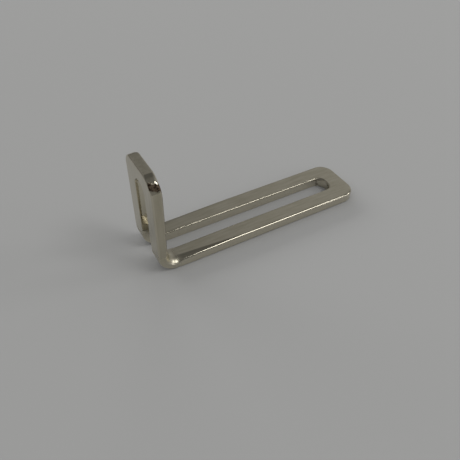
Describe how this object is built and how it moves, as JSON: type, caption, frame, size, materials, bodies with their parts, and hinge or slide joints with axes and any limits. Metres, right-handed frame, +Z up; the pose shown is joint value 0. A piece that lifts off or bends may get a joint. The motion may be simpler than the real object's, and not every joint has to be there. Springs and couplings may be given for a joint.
{
  "type": "l-shaped bracket",
  "caption": "L-shaped bracket folded from flat steel strip, with a continuous bolt slot running from the short leg through the bend and along the long leg.",
  "frame": {"origin": "bottom centre of the part's box: on the underside of the long leg, halfway along it, on the strip's middle plane", "axes": "+X along the long leg from the bend to its free end, +Y across the strip, +Z up along the short leg"},
  "size_m": [0.0604, 0.0152, 0.0276],
  "materials": {
    "nickel_plated_steel": "bright nickel plating with a faint warm cast, edges rounded by tumbling"
  },
  "bodies": {
    "root": {"bracket": "nickel_plated_steel"}
  },
  "joints": []
}
